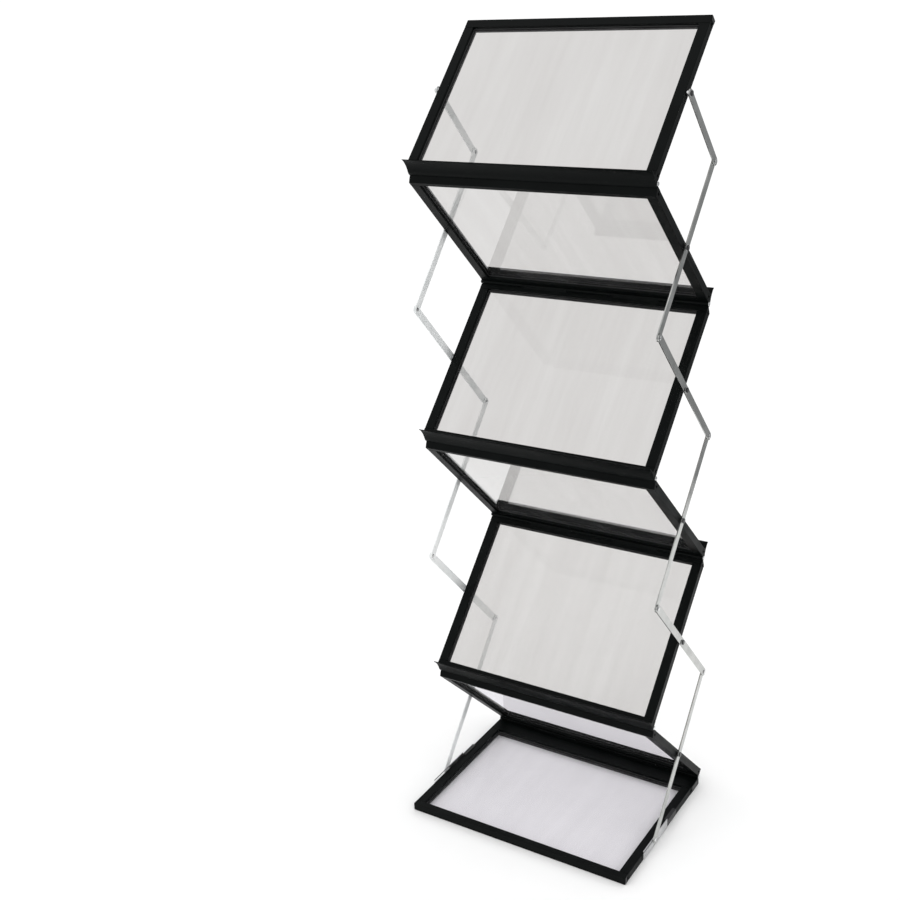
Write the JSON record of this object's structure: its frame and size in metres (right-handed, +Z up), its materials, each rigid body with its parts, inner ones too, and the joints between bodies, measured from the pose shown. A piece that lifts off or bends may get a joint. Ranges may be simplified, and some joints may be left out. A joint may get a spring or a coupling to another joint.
{
  "type": "brochure rack",
  "caption": "Free-standing zigzag brochure rack of hinged black frames with clear sheets, flared lips and side links; folds flat.",
  "frame": {"origin": "on the floor at the middle of the open rack's box", "axes": "+Z up, -Y towards the front, +X to the right seen from the front"},
  "size_m": [0.4838, 0.3704, 1.4896],
  "materials": {
    "black_frame": "satin",
    "clear_acrylic": "gloss",
    "polished_links": "polished",
    "plate_metal": "satin",
    "hinge_steel": "satin",
    "black_plastic": "matte"
  },
  "bodies": {
    "base": {"base_rear_rail": "black_frame", "base_front_rail": "black_frame", "base_left_rail": "black_frame", "base_right_rail": "black_frame", "base_clear_sheet": "clear_acrylic", "base_left_slot_plate": "plate_metal", "base_right_slot_plate": "plate_metal", "base_left_stop_block": "black_plastic", "base_right_stop_block": "black_plastic", "hinge_rod_1": "hinge_steel"},
    "panel_1": {"panel_1_hinge_rail": "black_frame", "panel_1_upper_rail": "black_frame", "panel_1_left_rail": "black_frame", "panel_1_right_rail": "black_frame", "panel_1_clear_sheet": "clear_acrylic", "hinge_rod_2": "hinge_steel"},
    "panel_2": {"panel_2_lip_rail": "black_frame", "panel_2_upper_rail": "black_frame", "panel_2_left_rail": "black_frame", "panel_2_right_rail": "black_frame", "panel_2_clear_sheet": "clear_acrylic", "hinge_rod_3": "hinge_steel"},
    "panel_3": {"panel_3_lip_rail": "black_frame", "panel_3_upper_rail": "black_frame", "panel_3_left_rail": "black_frame", "panel_3_right_rail": "black_frame", "panel_3_clear_sheet": "clear_acrylic", "hinge_rod_4": "hinge_steel"},
    "panel_4": {"panel_4_lip_rail": "black_frame", "panel_4_upper_rail": "black_frame", "panel_4_left_rail": "black_frame", "panel_4_right_rail": "black_frame", "panel_4_clear_sheet": "clear_acrylic", "hinge_rod_5": "hinge_steel"},
    "panel_5": {"panel_5_lip_rail": "black_frame", "panel_5_upper_rail": "black_frame", "panel_5_left_rail": "black_frame", "panel_5_right_rail": "black_frame", "panel_5_clear_sheet": "clear_acrylic", "hinge_rod_6": "hinge_steel"},
    "panel_6": {"panel_6_lip_rail": "black_frame", "panel_6_top_rail": "black_frame", "panel_6_left_rail": "black_frame", "panel_6_right_rail": "black_frame", "panel_6_clear_sheet": "clear_acrylic"},
    "link_1_left": {"link_1_left": "polished_links"},
    "link_1_right": {"link_1_right": "polished_links"},
    "link_2_left": {"link_2_left": "polished_links"},
    "link_2_right": {"link_2_right": "polished_links"},
    "link_3_left": {"link_3_left": "polished_links"},
    "link_3_right": {"link_3_right": "polished_links"},
    "link_4_left": {"link_4_left": "polished_links"},
    "link_4_right": {"link_4_right": "polished_links"},
    "link_5_left": {"link_5_left": "polished_links"},
    "link_5_right": {"link_5_right": "polished_links"},
    "link_6_left": {"link_6_left": "polished_links"},
    "link_6_right": {"link_6_right": "polished_links"}
  },
  "joints": [
    {"name": "rack_fold", "type": "hinge", "parent": "base", "child": "panel_1", "pos_m": [0, 0.16226, 0.01685], "axis": [1, 0, 0], "range_deg": [0, 44.81]},
    {"name": "panel_2_hinge", "type": "hinge", "parent": "panel_1", "child": "panel_2", "pos_m": [0, -0.06056, 0.26432], "axis": [1, 0, 0], "range_deg": [-89.72, 0]},
    {"name": "panel_3_hinge", "type": "hinge", "parent": "panel_2", "child": "panel_3", "pos_m": [0, 0.16226, 0.51178], "axis": [1, 0, 0], "range_deg": [0, 89.72]},
    {"name": "panel_4_hinge", "type": "hinge", "parent": "panel_3", "child": "panel_4", "pos_m": [0, -0.06056, 0.75925], "axis": [1, 0, 0], "range_deg": [-89.72, 0]},
    {"name": "panel_5_hinge", "type": "hinge", "parent": "panel_4", "child": "panel_5", "pos_m": [0, 0.16226, 1.00672], "axis": [1, 0, 0], "range_deg": [0, 89.72]},
    {"name": "panel_6_hinge", "type": "hinge", "parent": "panel_5", "child": "panel_6", "pos_m": [0, -0.06056, 1.25419], "axis": [1, 0, 0], "range_deg": [-89.72, 0]},
    {"name": "link_1_left_pivot", "type": "hinge", "parent": "panel_1", "child": "link_1_left", "pos_m": [-0.2355, 0.05085, 0.14058], "axis": [1, 0, 0], "range_deg": [-89.72, 0]},
    {"name": "link_1_right_pivot", "type": "hinge", "parent": "panel_1", "child": "link_1_right", "pos_m": [0.2355, 0.05085, 0.14058], "axis": [1, 0, 0], "range_deg": [-89.72, 0]},
    {"name": "link_2_left_pivot", "type": "hinge", "parent": "panel_2", "child": "link_2_left", "pos_m": [-0.2355, 0.05085, 0.38805], "axis": [1, 0, 0], "range_deg": [0, 89.72]},
    {"name": "link_2_right_pivot", "type": "hinge", "parent": "panel_2", "child": "link_2_right", "pos_m": [0.2355, 0.05085, 0.38805], "axis": [1, 0, 0], "range_deg": [0, 89.72]},
    {"name": "link_3_left_pivot", "type": "hinge", "parent": "panel_3", "child": "link_3_left", "pos_m": [-0.2355, 0.05085, 0.63552], "axis": [1, 0, 0], "range_deg": [-89.72, 0]},
    {"name": "link_3_right_pivot", "type": "hinge", "parent": "panel_3", "child": "link_3_right", "pos_m": [0.2355, 0.05085, 0.63552], "axis": [1, 0, 0], "range_deg": [-89.72, 0]},
    {"name": "link_4_left_pivot", "type": "hinge", "parent": "panel_4", "child": "link_4_left", "pos_m": [-0.2355, 0.05085, 0.88299], "axis": [1, 0, 0], "range_deg": [0, 89.72]},
    {"name": "link_4_right_pivot", "type": "hinge", "parent": "panel_4", "child": "link_4_right", "pos_m": [0.2355, 0.05085, 0.88299], "axis": [1, 0, 0], "range_deg": [0, 89.72]},
    {"name": "link_5_left_pivot", "type": "hinge", "parent": "panel_5", "child": "link_5_left", "pos_m": [-0.2355, 0.05085, 1.13045], "axis": [1, 0, 0], "range_deg": [-89.72, 0]},
    {"name": "link_5_right_pivot", "type": "hinge", "parent": "panel_5", "child": "link_5_right", "pos_m": [0.2355, 0.05085, 1.13045], "axis": [1, 0, 0], "range_deg": [-89.72, 0]},
    {"name": "link_6_left_pivot", "type": "hinge", "parent": "panel_6", "child": "link_6_left", "pos_m": [-0.2355, 0.05085, 1.37792], "axis": [1, 0, 0], "range_deg": [0, 89.72]},
    {"name": "link_6_right_pivot", "type": "hinge", "parent": "panel_6", "child": "link_6_right", "pos_m": [0.2355, 0.05085, 1.37792], "axis": [1, 0, 0], "range_deg": [0, 89.72]}
  ],
  "couplings": [
    {"joint": "panel_2_hinge", "follows": "rack_fold", "ratio": -2},
    {"joint": "panel_3_hinge", "follows": "rack_fold", "ratio": 2},
    {"joint": "panel_4_hinge", "follows": "rack_fold", "ratio": -2},
    {"joint": "panel_5_hinge", "follows": "rack_fold", "ratio": 2},
    {"joint": "panel_6_hinge", "follows": "rack_fold", "ratio": -2},
    {"joint": "link_1_left_pivot", "follows": "rack_fold", "ratio": -2},
    {"joint": "link_1_right_pivot", "follows": "rack_fold", "ratio": -2},
    {"joint": "link_2_left_pivot", "follows": "rack_fold", "ratio": 2},
    {"joint": "link_2_right_pivot", "follows": "rack_fold", "ratio": 2},
    {"joint": "link_3_left_pivot", "follows": "rack_fold", "ratio": -2},
    {"joint": "link_3_right_pivot", "follows": "rack_fold", "ratio": -2},
    {"joint": "link_4_left_pivot", "follows": "rack_fold", "ratio": 2},
    {"joint": "link_4_right_pivot", "follows": "rack_fold", "ratio": 2},
    {"joint": "link_5_left_pivot", "follows": "rack_fold", "ratio": -2},
    {"joint": "link_5_right_pivot", "follows": "rack_fold", "ratio": -2},
    {"joint": "link_6_left_pivot", "follows": "rack_fold", "ratio": 2},
    {"joint": "link_6_right_pivot", "follows": "rack_fold", "ratio": 2}
  ]
}
